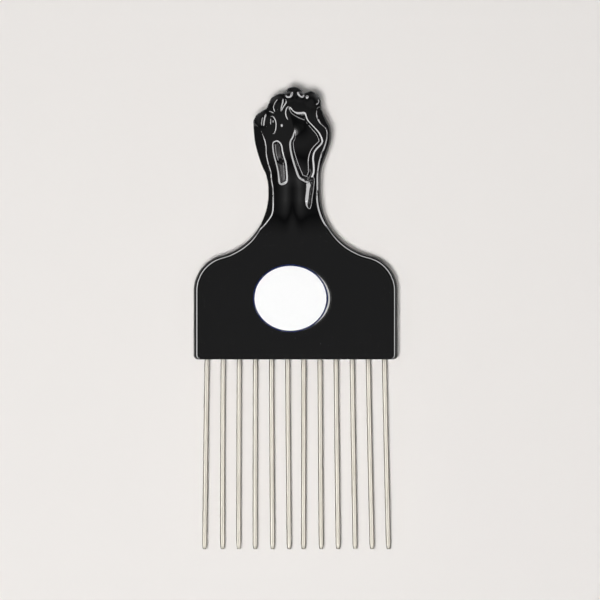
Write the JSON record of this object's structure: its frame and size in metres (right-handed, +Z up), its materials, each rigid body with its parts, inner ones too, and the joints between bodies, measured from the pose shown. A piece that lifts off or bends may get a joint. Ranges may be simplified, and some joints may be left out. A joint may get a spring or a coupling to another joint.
{
  "type": "afro pick",
  "caption": "Hair pick: a glossy black moulded handle, shouldered and necked, topped by a raised fist, with a row of long steel wire tines below and a blank white oval label.",
  "frame": {"origin": "under the middle of the whole pick's box, on the surface that it lies on", "axes": "+Y along the pick from the tine tips to the knuckles, +Z up from its flat back to its face, +X to the right as seen from the front with the fist up"},
  "size_m": [0.0774, 0.1752, 0.0142],
  "materials": {
    "handle": "injection-moulded black plastic with a high gloss",
    "tine": "bright nickel-plated steel wire",
    "label": "blank white film label with a thin dark blue edge"
  },
  "bodies": {
    "root": {"front_shell": "handle", "rear_shell": "handle", "label": "label", "tine_01": "tine", "tine_02": "tine", "tine_03": "tine", "tine_04": "tine", "tine_05": "tine", "tine_06": "tine", "tine_07": "tine", "tine_08": "tine", "tine_09": "tine", "tine_10": "tine", "tine_11": "tine", "tine_12": "tine"}
  },
  "joints": []
}
